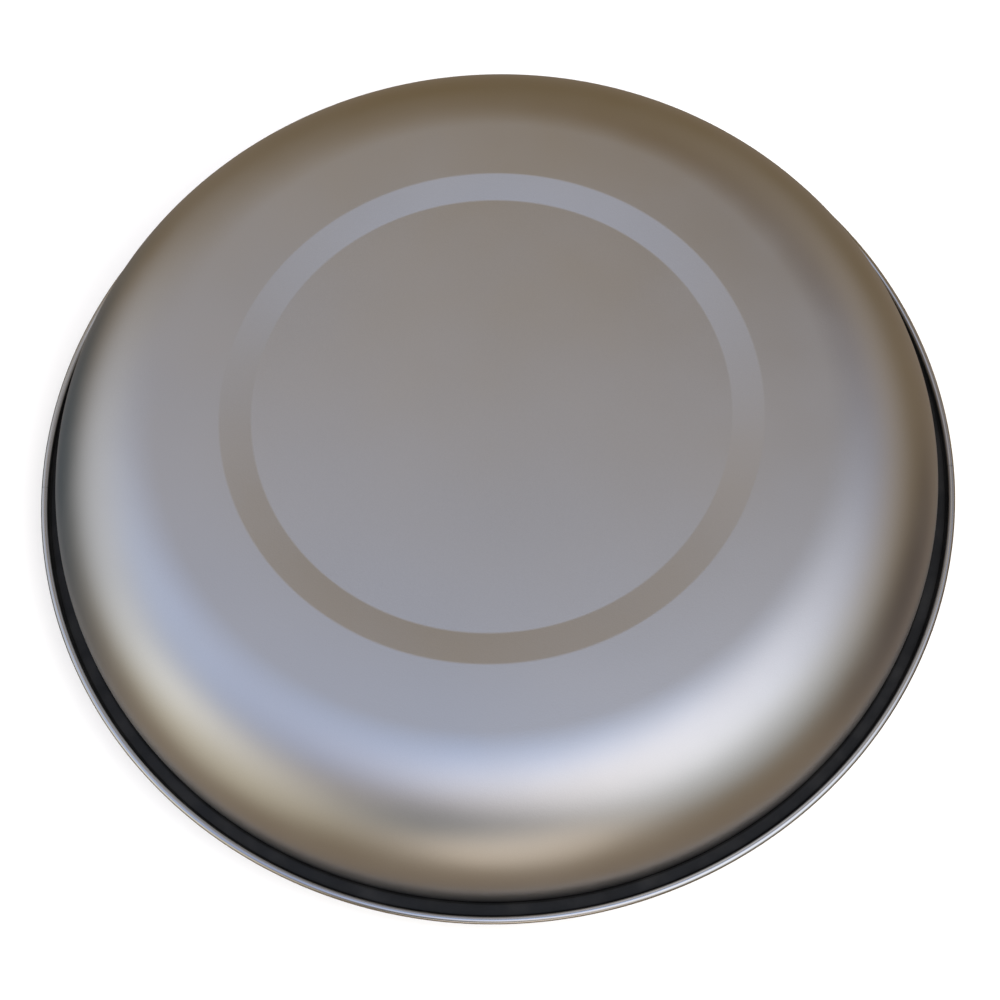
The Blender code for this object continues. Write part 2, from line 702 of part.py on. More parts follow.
# ---------------------------------------------------------------- assembly
def build():
    """Make every piece."""
    front_dish()
    dish_edge_seal()
    fixed = ring_half("ring_half_fixed", FIXED)
    swing = ring_half("ring_half_swing", SWING)
    for suffix, half in (("fixed", FIXED), ("swing", SWING)):
        bead_wire(f"bead_wire_{suffix}", half)
        rear_trim(f"rear_trim_{suffix}", half)

    leaf_grip = LEAF_T + SHEET + GAP
    for suffix, side, ring in (("fixed", 1, fixed), ("swing", -1, swing)):
        leaf = hinge_leaf(f"hinge_leaf_{suffix}", side)
        drill([leaf, ring], leaf_spots(side, 0.0), RIVET_HOLE_R)
        rivets(f"hinge_rivet_{suffix}", leaf_spots(side, GAP + LEAF_T), leaf_grip)
    hinge_pin()

    bore = rod("band_lock_hole", PLUG_HOLE_R, lock_point(BAND_R - CUT), OUT, 2 * CUT)
    boolean(fixed, bore)
    drill([fixed], screw_spots(BAND_R), RIVET_HOLE_R)
    lock_gasket()
    lock_housing()
    lock_screws()
    lock_barrel()
    lock_plug()
    lock_cam()
    cam_screw()
    lock_dust_cap()
    dust_cap_pin()

    tongue = latch_tongue()
    drill([tongue, swing], tongue_spots(), RIVET_HOLE_R)
    rivets("tongue_rivet", tongue_spots(), TONGUE_RIVET_GRIP)

    tread_pads("tread_pad_fixed", PAD_START_FIXED)
    tread_pads("tread_pad_swing", PAD_START_SWING)
    sidewall_bumpers()
    for obj in (fixed, swing):
        smooth(obj)


build()
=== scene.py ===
"""Looks of the hard spare tyre cover: rolled sheet metal, rubber and the lock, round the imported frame.

Metres, +Z up. Heights in turned outlines are measured from the middle of the rolled bead, at BEAD_Z.
"""

import json
import math

import bmesh
import bpy
import numpy as np
from mathutils import Matrix, Vector


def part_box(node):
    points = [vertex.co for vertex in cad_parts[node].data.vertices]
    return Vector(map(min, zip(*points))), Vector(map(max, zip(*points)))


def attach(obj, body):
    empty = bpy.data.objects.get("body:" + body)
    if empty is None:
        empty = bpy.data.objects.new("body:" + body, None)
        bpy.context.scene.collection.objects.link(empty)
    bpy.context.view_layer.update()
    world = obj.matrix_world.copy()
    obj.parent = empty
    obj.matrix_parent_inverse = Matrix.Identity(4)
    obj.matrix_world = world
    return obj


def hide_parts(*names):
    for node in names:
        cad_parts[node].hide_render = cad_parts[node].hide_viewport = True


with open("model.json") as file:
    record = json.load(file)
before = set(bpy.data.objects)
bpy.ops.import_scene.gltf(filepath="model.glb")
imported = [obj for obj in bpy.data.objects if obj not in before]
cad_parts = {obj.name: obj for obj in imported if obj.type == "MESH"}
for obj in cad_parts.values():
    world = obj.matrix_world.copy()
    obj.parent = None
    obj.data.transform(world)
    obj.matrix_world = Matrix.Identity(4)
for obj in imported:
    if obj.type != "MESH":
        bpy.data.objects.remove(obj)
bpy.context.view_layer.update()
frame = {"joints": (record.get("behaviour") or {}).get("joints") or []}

# ---------------------------------------------------------------- places from the frame
TURN = 2 * math.pi
JOINTS = {joint["name"]: Vector(joint["pos_m"]) for joint in frame["joints"]}
WIRE_LOW, WIRE_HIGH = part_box("bead_wire_fixed")
BEAD_Z = (WIRE_LOW.z + WIRE_HIGH.z) / 2
RIM_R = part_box("ring_half_fixed")[1].y - 0.00002
FACE_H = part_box("front_dish")[1].z - BEAD_Z
HINGE_X = JOINTS["ring_open"].x
LOCK = Vector((0.0, 0.0, JOINTS["lock_turn"].z))
CAP_PIN = JOINTS["dust_cap_flip"]

# ---------------------------------------------------------------- sizes
SHEET = 0.001                       # stainless sheet of the dish and ring
GAP = 0.0003                        # between pieces that touch
FINE = 360                          # steps round the full circle
FIXED = (math.radians(-6), math.radians(180))
SWING = (math.radians(180), math.radians(354))
BUTT = 0.00015 / RIM_R              # half the angle of the gap between the ring halves

DISC_H = FACE_H - 0.0035            # recessed centre disc
DISC_R = 0.1843
STEP_R = 0.2083                     # outside of the conical step ring
SHOULDER_R = 0.256
WALL_R = 0.358
WALL_FOOT_H = -0.005
SHOULDER_POWER = 2.2
FLANGE_H = -0.009
FLANGE_R = 0.369
COVE_R = WALL_FOOT_H - FLANGE_H
FOOT_SHADE_H = 0.012                     # top of the painted shade on the foot of the wall

BEAD_R = 0.0029
WIRE_R = 0.0015
CHANNEL_R = 0.3723
SHELF_H = -0.0144
BAND_R = 0.3615
BAND_OUT = BAND_R + SHEET / 2
BAND_IN = BAND_R - SHEET / 2
LIP_H = -0.086
LIP_R = 0.356
TYRE_R = 0.3535

HINGE_LOW, HINGE_HIGH = -0.078, -0.030
KNUCKLES = 5
KNUCKLE_R = 0.0039
PIN_R = 0.00175
LEAF_T = 0.002
LEAF_LENGTH = 0.034
LEAF_RIVET_S = 0.024
LEAF_RIVET_HEIGHTS = (-0.036, -0.054, -0.072)
RIVET_R = 0.0016
HOLE_R = 0.0019
CUT = 0.012                         # depth of a cutter that runs right through

GASKET_R = 0.3633
HOUSING_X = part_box("lock_housing")[1].x
HOUSING_W, HOUSING_L = 0.044, 0.052
RECESS_X, RECESS_W, RECESS_TOP = 0.3779, 0.028, 0.0145
BARREL_R, BARREL_BORE_R = 0.009, 0.0063
PLUG_R, PLUG_HOLE_R = 0.006, 0.0069
SCREW_OFFSET = 0.0215
CAM_X, CAM_T, CAM_LENGTH, CAM_W = 0.3559, 0.002, 0.015, 0.009
STEM = 0.007
CAP_T, CAP_W, CAP_BARREL_R, CAP_PIN_R = 0.002, 0.0272, 0.0017, 0.0008
CAP_LOW = -0.0137                   # lower edge of the dust cap under the lock's axis

TONGUE_R, TONGUE_T, TONGUE_W = 0.36, 0.0014, 0.034
TONGUE_SLOT_W, TONGUE_SLOT_END, TONGUE_TIP = 0.015, -0.0165, 0.007
PAD_R, PAD_HIGH, PAD_LOW = 0.3606, -0.030, -0.070
BUMPER_R, BUMPER_DEPTH = 0.016, 0.025


# ---------------------------------------------------------------- outlines
def arc(cx, cy, radius, start, end, pieces):
    """Points along an arc, both ends included; angles in degrees."""
    angles = [math.radians(start + (end - start) * k / pieces) for k in range(pieces + 1)]
    return [(cx + radius * math.cos(a), cy + radius * math.sin(a)) for a in angles]


def filleted(corners, closed=True, pieces=5):
    """Round the corners (x, y, fillet radius) of an outline, or of an open line."""
    points = []
    count = len(corners)
    for k, (x, y, radius) in enumerate(corners):
        if radius == 0 or (not closed and k in (0, count - 1)):
            points.append((x, y))
            continue
        here = Vector((x, y))
        back = Vector(corners[k - 1][:2]) - here
        ahead = Vector(corners[(k + 1) % count][:2]) - here
        half = back.angle(ahead) / 2
        if half > math.radians(89.9):
            points.append((x, y))
            continue
        reach = min(radius / math.tan(half), 0.49 * back.length, 0.49 * ahead.length)
        radius = reach * math.tan(half)
        centre = here + (back.normalized() + ahead.normalized()).normalized() * math.hypot(radius, reach)
        first = here + back.normalized() * reach - centre
        last = here + ahead.normalized() * reach - centre
        swing = first.angle_signed(last)
        for step in range(pieces + 1):
            turned = Matrix.Rotation(-swing * step / pieces, 2) @ first
            points.append(tuple(centre + turned))
    return points


def sheet_outline(middle, thickness, round_ends=True):
    """Closed outline of a sheet from the middle line of its section."""
    line = np.array(middle)
    along = np.gradient(line, axis=0)
    step = np.diff(line, axis=0)
    step /= np.linalg.norm(step, axis=1)[:, None]
    along[1:-1] = step[:-1] + step[1:]
    along[0], along[-1] = step[0], step[-1]
    along /= np.linalg.norm(along, axis=1)[:, None]
    spread = np.ones(len(line))
    spread[1:-1] = 1 / np.clip((along[1:-1] * step[:-1]).sum(axis=1), 0.5, 1)
    normal = np.stack([-along[:, 1], along[:, 0]], axis=1) * (spread * thickness / 2)[:, None]
    left, right = line + normal, line - normal
    outline = [tuple(p) for p in left]
    if round_ends:
        outline += end_cap(line[-1], along[-1], thickness / 2)
    outline += [tuple(p) for p in right[::-1]]
    if round_ends:
        outline += end_cap(line[0], -along[0], thickness / 2)
    return outline


def end_cap(point, ahead, radius, pieces=6):
    """Half circle round the end of a sheet's section, without its two ends."""
    side = np.array([-ahead[1], ahead[0]])
    angles = [math.pi * k / pieces for k in range(1, pieces)]
    return [tuple(point + radius * (math.cos(a) * side + math.sin(a) * ahead)) for a in angles]


# ---------------------------------------------------------------- mesh builders
def finish_piece(obj, mat, body, replaced, sharp=40):
    """Material, smooth shading, body and the CAD nodes that the piece stands for."""
    obj.data.materials.clear()
    obj.data.materials.append(mat)
    obj.data.shade_smooth()
    obj.data.set_sharp_from_angle(angle=math.radians(sharp))
    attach(obj, body)
    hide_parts(*replaced)
    return obj


def new_object(name, data):
    """Link a mesh, curve, lamp or camera as an object."""
    obj = bpy.data.objects.new(name, data)
    bpy.context.scene.collection.objects.link(obj)
    return obj


def solid(name, bm):
    """An object from a bmesh with outward faces."""
    bmesh.ops.recalc_face_normals(bm, faces=bm.faces)
    mesh = bpy.data.meshes.new(name)
    bm.to_mesh(mesh)
    bm.free()
    return new_object(name, mesh)


def lathe(name, outline, start=0.0, sweep=TURN, steps=FINE, matrix=None):
    """Turn a closed outline of (radius, height) round Z; a part turn gets flat ends."""
    whole = sweep > TURN - 1e-6
    rings = steps if whole else steps + 1
    bm = bmesh.new()
    on_axis = {k: bm.verts.new((0.0, 0.0, h)) for k, (r, h) in enumerate(outline) if r == 0}
    grid = []
    for k in range(rings):
        angle = start + sweep * k / steps
        ca, sa = math.cos(angle), math.sin(angle)
        grid.append([on_axis[i] if i in on_axis else bm.verts.new((r * ca, r * sa, h))
                     for i, (r, h) in enumerate(outline)])
    for k in range(steps):
        here, ahead = grid[k], grid[(k + 1) % rings]
        for i in range(len(outline)):
            j = (i + 1) % len(outline)
            corners = list(dict.fromkeys((here[i], ahead[i], ahead[j], here[j])))
            if len(corners) > 2:
                bm.faces.new(corners)
    if not whole:
        bm.faces.new(grid[0])
        bm.faces.new(grid[-1][::-1])
    bm.transform(matrix or Matrix.Translation((0.0, 0.0, BEAD_Z)))
    return solid(name, bm)


def slab(name, outlines, depth, matrix, edge=0.0003):
    """Flat outlines, the first outside and the others holes, made into a solid with rounded edges."""
    curve = bpy.data.curves.new(name, "CURVE")
    curve.dimensions = "2D"
    curve.fill_mode = "BOTH"
    curve.extrude = depth / 2 - edge
    curve.bevel_depth = edge
    curve.bevel_resolution = 2
    curve.offset = -edge
    for outline in outlines:
        spline = curve.splines.new("POLY")
        spline.points.add(len(outline) - 1)
        for point, (u, v) in zip(spline.points, outline):
            point.co = (u, v, 0.0, 1.0)
        spline.use_cyclic_u = True
    guide = new_object(name + "_outline", curve)
    bpy.context.view_layer.update()
    mesh = bpy.data.meshes.new_from_object(guide.evaluated_get(bpy.context.evaluated_depsgraph_get()))
    bpy.data.objects.remove(guide, do_unlink=True)
    bm = bmesh.new()
    bm.from_mesh(mesh)
    bpy.data.meshes.remove(mesh)
    bmesh.ops.remove_doubles(bm, verts=bm.verts, dist=0.00001)
    bm.transform(matrix)
    return solid(name, bm)


def block(name, low, high, edge, pieces=5):
    """A block between two corners with rounded edges."""
    bm = bmesh.new()
    bmesh.ops.create_cube(bm, size=1.0)
    size = [b - a for a, b in zip(low, high)]
    middle = [(a + b) / 2 for a, b in zip(low, high)]
    bm.transform(Matrix.Translation(middle) @ Matrix.Diagonal((*size, 1.0)))
    if edge:
        bmesh.ops.bevel(bm, geom=bm.edges[:], offset=edge, segments=pieces, affect="EDGES", profile=0.5)
    return solid(name, bm)


def pointing(origin, direction):
    """Matrix that puts local Z along a direction at an origin."""
    return Matrix.Translation(origin) @ Vector(direction).to_track_quat("Z", "Y").to_matrix().to_4x4()


def peg(name, radius, origin, direction, length, steps=48):
    """Straight round cutter."""
    outline = [(0.0, 0.0), (radius, 0.0), (radius, length), (0.0, length)]
    return lathe(name, outline, steps=steps, matrix=pointing(origin, direction))


def combine(obj, tools, operation="DIFFERENCE"):
    """Cut the tools out of an object, or join them on, and remove them."""
    for tool in tools:
        step = obj.modifiers.new("combine", "BOOLEAN")
        step.operation = operation
        step.solver = "EXACT"
        step.object = tool
    bpy.context.view_layer.update()
    mesh = bpy.data.meshes.new_from_object(obj.evaluated_get(bpy.context.evaluated_depsgraph_get()))
    obj.modifiers.clear()
    old = obj.data
    obj.data = mesh
    bpy.data.meshes.remove(old)
    for tool in tools:
        bpy.data.objects.remove(tool, do_unlink=True)
    return obj


def rivet_holes(spots, inside, length):
    """Cutters for rivet holes, each starting a little inside its spot (point, outward direction)."""
    return [peg("hole", HOLE_R, point - inside * out, out, length, 24) for point, out in spots]


def screw_holes(x, length, radius=HOLE_R):
    """Cutters for the two lock screws' holes, from a distance out along the lock's axis."""
    return [peg("hole", radius, on_lock(x, 0.0, side * SCREW_OFFSET), (1, 0, 0), length, 24)
            for side in (1, -1)]


def crossed_slots(origin, half_width, half_length):
    """Cutters for a crossed slot in a screw's head, one a hair wider so that no faces coincide."""
    sizes = ((half_width, half_length), (half_length, half_width + 0.00001))
    return [block("slot", origin + Vector((-0.003, -w, -h)), origin + Vector((-0.0007, w, h)), 0.0002, 2)
            for w, h in sizes]


def on_lock(x, y=0.0, z=0.0):
    """World point at a distance out along the lock's axis, and offsets across it."""
    return LOCK + Vector((x, y, z))


def at_angle(radius, angle, height):
    """World point at a radius, an angle from +X and a height from the bead."""
    return Vector((radius * math.cos(angle), radius * math.sin(angle), BEAD_Z + height))


# ---------------------------------------------------------------- material nodes
def add_node(tree, kind, inputs=None, **settings):
    """A shader node whose inputs are values or other nodes' sockets."""
    made = tree.nodes.new("ShaderNode" + kind)
    for key, value in settings.items():
        setattr(made, key, value)
    for key, value in (inputs or {}).items():
        if isinstance(value, bpy.types.NodeSocket):
            tree.links.new(value, made.inputs[key])
        else:
            made.inputs[key].default_value = value
    return made


class Shader:
    """A Principled material under construction."""

    def __init__(self, name, colour, roughness, metallic=0.0, **sockets):
        self.mat = bpy.data.materials.new(name)
        self.mat.use_nodes = True
        self.tree = self.mat.node_tree
        self.bsdf = self.tree.nodes["Principled BSDF"]
        self.colour, self.roughness = colour, roughness
        self.set("Base Color", (*colour, 1.0))
        self.set("Roughness", roughness)
        self.set("Metallic", metallic)
        for socket, value in sockets.items():
            self.set(socket.replace("_", " "), value)
        self.place = self.tree.nodes.new("ShaderNodeTexCoord").outputs["Object"]
        self.height = None
        self.mat.diffuse_color = (*colour, 1.0)

    def set(self, socket, value):
        self.bsdf.inputs[socket].default_value = value

    def node(self, kind, inputs=None, **settings):
        """A node in this material."""
        return add_node(self.tree, kind, inputs, **settings)

    def stretched(self, scale):
        """Object coordinates with a scale for each axis."""
        return self.node("Mapping", {"Vector": self.place, "Scale": scale}).outputs["Vector"]

    def circular(self, radial, around, axial, centre=(0.0, 0.0, 0.0), axis="z"):
        """Coordinates of (radius, angle, axis) round an axis, each with its own scale."""
        moved = self.node("VectorMath", {0: self.place, 1: centre}, operation="SUBTRACT").outputs[0]
        parts = self.node("SeparateXYZ", {0: moved}).outputs
        u, v, w = {"z": (0, 1, 2), "x": (1, 2, 0)}[axis]
        angle = self.node("Math", {0: parts[v], 1: parts[u]}, operation="ARCTAN2").outputs[0]
        flat = self.node("CombineXYZ", {0: parts[u], 1: parts[v]}).outputs[0]
        radius = self.node("VectorMath", {0: flat}, operation="LENGTH").outputs["Value"]
        scaled = [self.node("Math", {0: value, 1: scale}, operation="MULTIPLY").outputs[0]
                  for value, scale in ((radius, radial), (angle, around), (parts[w], axial))]
        return self.node("CombineXYZ", dict(enumerate(scaled))).outputs[0]

    def noise(self, scale, detail=3.0, vector=None, rough=0.5):
        """Noise value from 0 to 1."""
        inputs = {"Vector": vector or self.place, "Scale": scale, "Detail": detail, "Roughness": rough}
        return self.node("TexNoise", inputs).outputs["Fac"]

    def mapped(self, value, low, high, start=0.3, end=0.7):
        """Map a value between start and end onto low and high."""
        inputs = {"Value": value, "From Min": start, "From Max": end, "To Min": low, "To Max": high}
        return self.node("MapRange", inputs).outputs["Result"]

    def vary_roughness(self, value, spread):
        """Vary the roughness about its own value."""
        mapped = self.mapped(value, self.roughness - spread, self.roughness + spread)
        self.tree.links.new(mapped, self.bsdf.inputs["Roughness"])

    def vary_colour(self, value, other, most=1.0, start=0.3, end=0.7):
        """Fade the colour to another where the value is high."""
        amount = self.mapped(value, 0.0, most, start, end)
        mix = self.node("Mix", {"Factor": amount}, data_type="RGBA")
        mix.inputs["A"].default_value = (*self.colour, 1.0)
        source = self.bsdf.inputs["Base Color"].links
        if source:
            self.tree.links.new(source[0].from_socket, mix.inputs["A"])
        mix.inputs["B"].default_value = (*other, 1.0)
        self.tree.links.new(mix.outputs["Result"], self.bsdf.inputs["Base Color"])

    def bump(self, value, distance, strength=1.0):
        """Add a height in metres on top of the earlier ones."""
        made = self.node("Bump", {"Height": value, "Distance": distance, "Strength": strength})
        if self.height:
            self.tree.links.new(self.height, made.inputs["Normal"])
        self.height = made.outputs["Normal"]
        self.tree.links.new(self.height, self.bsdf.inputs["Normal"])


def satin_stainless():
    """Bead-blasted dish: fine grain, handling marks, slow waves of the pressing, and painted shade that
    darkens the foot of the wall beside the seal.
    """
    s = Shader("satin_stainless", (0.60, 0.585, 0.565), 0.38, 1.0)
    s.bump(s.noise(900.0, 2.0), 0.00008, 0.5)
    s.bump(s.noise(9.0, 2.0), 0.0004, 0.25)
    s.vary_roughness(s.noise(14.0, 4.0), 0.02)
    s.vary_colour(s.noise(1600.0, 2.0), (0.52, 0.505, 0.485), 0.5)
    s.vary_colour(s.noise(5.0, 3.0), (0.63, 0.60, 0.56), 0.6)
    height = s.node("SeparateXYZ", {0: s.place}).outputs["Z"]
    # painted shade: the wall darkens towards its foot, standing in for the shade there and the dark seal's
    # reflection
    s.vary_colour(height, (0.10, 0.09, 0.08), 0.85, BEAD_Z + FOOT_SHADE_H, BEAD_Z + WALL_FOOT_H)
    return s.mat


def polished_stainless():
    """Polished ring with fine lines round it and soft smears."""
    s = Shader("polished_stainless", (0.56, 0.55, 0.535), 0.20, 1.0)
    lines = s.noise(1.0, 4.0, s.circular(2600.0, 9.0, 2600.0), 0.6)
    s.bump(lines, 0.00002, 0.4)
    s.vary_roughness(s.noise(30.0, 4.0), 0.035)
    s.vary_colour(lines, (0.48, 0.47, 0.455), 0.5)
    s.vary_colour(s.noise(18.0, 5.0), (0.60, 0.585, 0.56), 0.5)
    return s.mat


def rubber(name, colour, dust, roughness, grain, gloss=0.4):
    """Matt rubber with a moulded grain and a little dust."""
    s = Shader(name, colour, roughness, 0.0, Specular_IOR_Level=gloss)
    s.bump(s.noise(grain, 3.0), 0.00012, 0.5)
    s.bump(s.noise(grain / 9, 2.0), 0.0003, 0.15)
    s.vary_roughness(s.noise(60.0, 4.0), 0.08)
    s.vary_colour(s.noise(38.0, 6.0), dust, 0.6, 0.45, 0.8)
    return s.mat


def cast_zinc():
    """Satin-plated casting: orange peel, darker in patches at random, and brighter on rubbed edges."""
    s = Shader("cast_zinc", (0.55, 0.55, 0.56), 0.30, 1.0)
    s.bump(s.noise(420.0, 2.0), 0.00012, 0.35)
    s.vary_roughness(s.noise(90.0, 4.0), 0.06)
    s.vary_colour(s.noise(120.0, 5.0), (0.42, 0.42, 0.43), 0.6)
    edge = s.node("NewGeometry").outputs["Pointiness"]
    s.vary_colour(edge, (0.78, 0.77, 0.75), 0.7, 0.52, 0.58)
    return s.mat


def plated_steel():
    """Zinc-plated pressings: faint flake pattern and rubbed edges."""
    s = Shader("plated_steel", (0.55, 0.56, 0.57), 0.30, 1.0)
    flakes = s.node("TexVoronoi", {"Vector": s.place, "Scale": 420.0}).outputs["Distance"]
    s.vary_colour(flakes, (0.44, 0.45, 0.47), 0.55, 0.1, 0.6)
    s.vary_roughness(s.noise(120.0, 4.0), 0.07)
    s.bump(s.noise(900.0, 2.0), 0.00004, 0.4)
    edge = s.node("NewGeometry").outputs["Pointiness"]
    s.vary_colour(edge, (0.74, 0.73, 0.71), 0.6, 0.52, 0.58)
    return s.mat


def machined(name, colour, dark, centre, axis, roughness=0.24):
    """Turned metal with tool lines round an axis."""
    s = Shader(name, colour, roughness, 1.0)
    lines = s.noise(1.0, 3.0, s.circular(9000.0, 3.0, 9000.0, centre, axis), 0.6)
    s.bump(lines, 0.00003, 0.5)
    s.vary_colour(lines, dark, 0.7)
    s.vary_roughness(s.noise(300.0, 3.0), 0.06)
    return s.mat


def bright_fasteners():
    """Plain stainless rivets, pins and screws with fine scuffs."""
    s = Shader("bright_fasteners", (0.62, 0.62, 0.61), 0.22, 1.0)
    scuffs = s.noise(1.0, 4.0, s.stretched((2400.0, 500.0, 5200.0)), 0.6)
    s.bump(scuffs, 0.00002, 0.5)
    s.vary_colour(scuffs, (0.50, 0.50, 0.49), 0.6)
    s.vary_roughness(s.noise(400.0, 3.0), 0.07)
    return s.mat


def wire_steel():
    """Drawn wire with lines along it."""
    s = Shader("wire_steel", (0.45, 0.45, 0.46), 0.34, 1.0)
    lines = s.noise(1.0, 3.0, s.circular(6000.0, 4.0, 6000.0))
    s.bump(lines, 0.00003, 0.5)
    s.vary_colour(lines, (0.33, 0.32, 0.31), 0.7)
    return s.mat


def black_plastic():
    """Moulded plastic with a spark-eroded texture."""
    s = Shader("black_plastic", (0.022, 0.022, 0.024), 0.42, 0.0, Specular_IOR_Level=0.45)
    s.bump(s.noise(1500.0, 3.0), 0.00008, 0.6)
    s.vary_roughness(s.noise(90.0, 4.0), 0.07)
    s.vary_colour(s.noise(70.0, 5.0), (0.045, 0.045, 0.047), 0.6, 0.4, 0.75)
    return s.mat


MATERIALS = {
    "satin_stainless": satin_stainless(),
    "polished_stainless": polished_stainless(),
    "pad_rubber": rubber("pad_rubber", (0.022, 0.022, 0.023), (0.075, 0.072, 0.068), 0.60, 1400.0),
    "edge_rubber": rubber("edge_rubber", (0.006, 0.006, 0.006), (0.02, 0.019, 0.018), 0.50, 2000.0, 0.2),
    "gasket_rubber": rubber("gasket_rubber", (0.018, 0.018, 0.019), (0.055, 0.053, 0.05), 0.66, 1700.0),
    "cast_zinc": cast_zinc(),
    "plated_steel": plated_steel(),
    "lock_brass": machined("lock_brass", (0.66, 0.51, 0.27), (0.50, 0.37, 0.18), LOCK, "x"),
    "bright_fasteners": bright_fasteners(),
    "wire_steel": wire_steel(),
    "black_plastic": black_plastic(),
}


def done(obj, body, slot, *nodes, sharp=40):
    """Finish a piece that stands for CAD nodes."""
    return finish_piece(obj, MATERIALS[slot], body, nodes, sharp)


# ---------------------------------------------------------------- dish and seal
def shoulder_line(pieces=56):
    """Superellipse from the flat annulus to the foot of the wall, in the middle of the sheet."""
    points = []
    for k in range(pieces + 1):
        t = math.pi / 2 * (1 - math.cos(math.pi * k / pieces)) / 2
        radius = SHOULDER_R + (WALL_R - SHOULDER_R) * max(math.sin(t), 0.0) ** (2 / SHOULDER_POWER)
        rise = (FACE_H - WALL_FOOT_H) * max(math.cos(t), 0.0) ** (2 / SHOULDER_POWER)
        points.append((radius, WALL_FOOT_H + rise))
    return points


def front_dish():
    """One pressing, with soft folds at both edges of the step ring."""
    fold = 0.012
    step = [(0.0, DISC_H, 0.0), (DISC_R * 0.5, DISC_H, 0.0), (DISC_R, DISC_H, fold),
            (STEP_R, FACE_H, fold), (STEP_R + 0.03, FACE_H, 0.0)]
    cove = arc(WALL_R + COVE_R, WALL_FOOT_H, COVE_R, 180, 270, 8)[1:]
    line = filleted(step, closed=False, pieces=8) + shoulder_line() + cove + [(FLANGE_R, FLANGE_H)]
    middle = [(r, h - SHEET / 2) for r, h in line]
    outline = sheet_outline(middle, SHEET)
    # the sheet's round end at the centre closes onto the axis, and only its two outer points stay
    outline = [(0.0 if r < 0.0004 else r, h) for r, h in outline]
    clean = []
    for k, (r, h) in enumerate(outline):
        beside = (outline[k - 1][0], outline[(k + 1) % len(outline)][0])
        if k == 0 or r > 0 or max(beside) > 0:
            clean.append((r, h))
    done(lathe("dish_pressing", clean), "cover", "satin_stainless", "front_dish")


def dish_edge_seal():
    """Rubber channel over the flange: its soft upper lip reaches the wall, with a groove beside the ring."""
    cove_h = WALL_FOOT_H - SHEET / 2
    wall_r = WALL_R + SHEET / 2 + GAP
    out_r, low_r = 0.3712, 0.3635
    top, low = -0.0045, -0.0135
    slot_r, slot_top, slot_low = FLANGE_R + GAP, FLANGE_H + GAP, FLANGE_H - SHEET - GAP
    groove_r, groove_h = 0.3688, top - 0.0012
    half = 0.0008
    corners = [
        (wall_r, top - 0.0007, 0.0004), (wall_r + 0.0016, top, 0.0010), (groove_r - half, top, 0.0004),
        (groove_r, groove_h, 0.0005), (groove_r + half, top - 0.0003, 0.0004),
        (out_r, top - 0.0003, 0.0007), (out_r, low + 0.0014, 0.0008),
        (out_r - 0.0014, low, 0.0008), (low_r, low, 0.0007),
        (low_r, slot_low, 0.0003), (slot_r, slot_low, 0.0002), (slot_r, slot_top, 0.0002),
    ]
    cove = [(r, h, 0.0) for r, h in arc(WALL_R + COVE_R, cove_h, WALL_R + COVE_R - wall_r, 270, 180, 8)]
    channel = lathe("dish_seal_channel", filleted(corners + cove, pieces=4))
    done(channel, "cover", "edge_rubber", "dish_edge_seal")


# ---------------------------------------------------------------- clamp ring
def part_turn(name, outline, half, inset=0.0):
    """Turn an outline over one ring half."""
    start, end = half
    clear = BUTT + inset
    steps = round(FINE * (end - start) / TURN)
    return lathe(name, outline, start + clear, end - start - 2 * clear, steps)


def ring_outline():
    """Curl round the wire, channel wall, shelf, band and rear lip."""
    curl = arc(RIM_R - BEAD_R, 0.0, BEAD_R - SHEET / 2, 245, -52, 36)
    rest = [
        (CHANNEL_R, -0.0034, 0.0012), (CHANNEL_R, SHELF_H, 0.0022), (BAND_R, SHELF_H, 0.0022),
        (BAND_R, LIP_H, 0.0022), (LIP_R, LIP_H, 0.0),
    ]
    line = [(r, h, 0.0) for r, h in curl] + rest
    return sheet_outline(filleted(line, closed=False, pieces=6), SHEET)


def ring_halves():
    """Both halves with their rivet holes and the lock's bore."""
    fixed = part_turn("ring_fixed_rolled", ring_outline(), FIXED)
    swing = part_turn("ring_swing_rolled", ring_outline(), SWING)
    reach = 0.006
    tools = rivet_holes(leaf_spots(1, BAND_OUT), reach, 2 * reach)
    tools += screw_holes(BAND_OUT - reach, 2 * reach)
    tools.append(peg("bore", PLUG_HOLE_R, on_lock(BAND_OUT - reach), (1, 0, 0), 2 * reach))
    combine(fixed, tools)
    combine(swing, rivet_holes(leaf_spots(-1, BAND_OUT) + tongue_spots(BAND_OUT), reach, 2 * reach))
    done(fixed, "cover", "polished_stainless", "ring_half_fixed", sharp=50)
    done(swing, "ring_swing", "polished_stainless", "ring_half_swing", sharp=50)


def bead_wires():
    """Round wire inside each rolled bead."""
    for suffix, half, body in (("fixed", FIXED, "cover"), ("swing", SWING, "ring_swing")):
        circle = arc(RIM_R - BEAD_R, 0.0, WIRE_R, 0, 345, 23)
        wire = part_turn(f"rim_wire_{suffix}", circle, half, 0.003)
        done(wire, body, "wire_steel", f"bead_wire_{suffix}")


def rear_trims():
    """Soft channel folded round the rear lip."""
    reach = SHEET / 2 + GAP + 0.0008
    inside = TYRE_R + 0.0008
    lower = LIP_H - reach
    line = [(0.3586, LIP_H + reach, 0.0), (inside, LIP_H + reach, 0.0016), (inside, lower, 0.0016),
            (0.3602, lower, 0.0)]
    outline = sheet_outline(filleted(line, closed=False, pieces=6), 0.0016)
    for suffix, half, body in (("fixed", FIXED, "cover"), ("swing", SWING, "ring_swing")):
        trim = part_turn(f"lip_trim_{suffix}", outline, half)
        done(trim, body, "edge_rubber", f"rear_trim_{suffix}")


